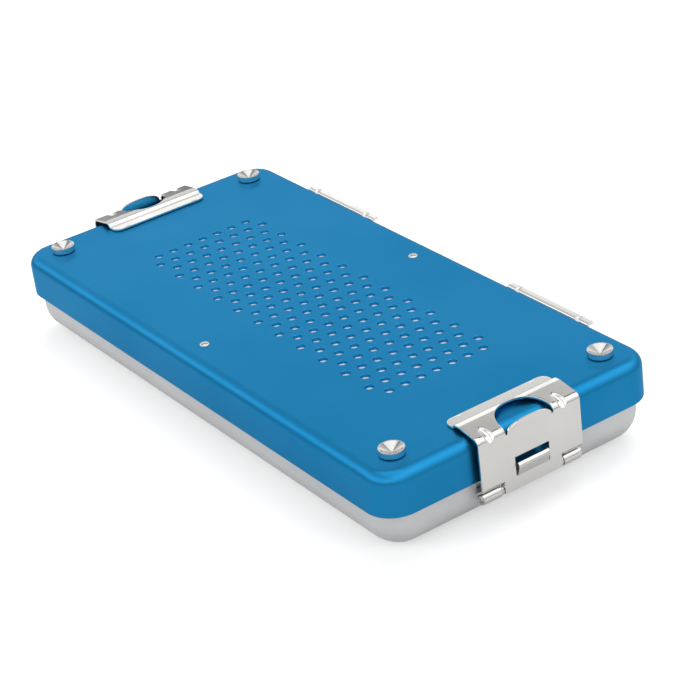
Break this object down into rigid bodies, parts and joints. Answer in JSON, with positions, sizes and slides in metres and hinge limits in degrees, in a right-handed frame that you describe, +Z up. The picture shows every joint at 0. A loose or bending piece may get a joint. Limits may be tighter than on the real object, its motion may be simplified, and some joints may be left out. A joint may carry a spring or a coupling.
{
  "type": "flat sterilization container",
  "caption": "Flat lidded metal container for sterilizing small instruments, with a perforated lift-off lid, a filter under it, end latches, rear lid guides and stacking cups.",
  "frame": {"origin": "on the table the container stands on, under the centre of the lid", "axes": "+X along the long side towards the right latch, +Y towards the two rear lid guides, +Z up"},
  "size_m": [0.3104, 0.1442, 0.0424],
  "materials": {
    "blue_anodised_lid": "satin anodised",
    "plain_anodised_tray": "satin anodised",
    "polished_stainless": "polished",
    "turned_steel": "fine turned",
    "seal_rubber": "matt",
    "filter_paper": "matt",
    "plate_aluminium": "satin"
  },
  "bodies": {
    "base": {"base_tray": "plain_anodised_tray", "foot_left_front": "turned_steel", "foot_left_rear": "turned_steel", "foot_right_front": "turned_steel", "foot_right_rear": "turned_steel", "latch_bracket_right": "polished_stainless", "latch_pin_right": "polished_stainless", "latch_rivets_right": "polished_stainless", "lid_guide_right": "polished_stainless", "guide_rivets_right": "turned_steel", "latch_bracket_left": "polished_stainless", "latch_pin_left": "polished_stainless", "latch_rivets_left": "polished_stainless", "lid_guide_left": "polished_stainless", "guide_rivets_left": "turned_steel"},
    "lid": {"lid_shell": "blue_anodised_lid", "lid_gasket": "seal_rubber", "filter_sheet": "filter_paper", "filter_plate": "plate_aluminium", "clip_pivot_front": "turned_steel", "clip_pivot_rear": "turned_steel", "stacking_cup_left_front": "turned_steel", "stacking_cup_left_rear": "turned_steel", "stacking_cup_right_front": "turned_steel", "stacking_cup_right_rear": "turned_steel"},
    "latch_right": {"latch_flap_right": "polished_stainless"},
    "latch_left": {"latch_flap_left": "polished_stainless"},
    "clip_front": {"filter_clip_front": "polished_stainless"},
    "clip_rear": {"filter_clip_rear": "polished_stainless"}
  },
  "joints": [
    {"name": "lid_lift", "type": "slide", "parent": "base", "child": "lid", "axis": [0, 0, 1], "range_m": [0, 0.018]},
    {"name": "latch_right_swing", "type": "hinge", "parent": "base", "child": "latch_right", "pos_m": [0.15062, 0, 0.01238], "axis": [0, 1, 0], "range_deg": [0, 105]},
    {"name": "latch_left_swing", "type": "hinge", "parent": "base", "child": "latch_left", "pos_m": [-0.15062, 0, 0.01238], "axis": [0, -1, 0], "range_deg": [0, 105]},
    {"name": "clip_front_turn", "type": "hinge", "parent": "lid", "child": "clip_front", "pos_m": [0, -0.057, 0.0362], "axis": [0, 0, 1], "range_deg": [-90, 90]},
    {"name": "clip_rear_turn", "type": "hinge", "parent": "lid", "child": "clip_rear", "pos_m": [0, 0.057, 0.0362], "axis": [0, 0, 1], "range_deg": [-90, 90]}
  ],
  "couplings": [
    {"joint": "latch_right_swing", "follows": "lid_lift", "rad_per_m": 101.8},
    {"joint": "latch_left_swing", "follows": "lid_lift", "rad_per_m": 101.8}
  ]
}
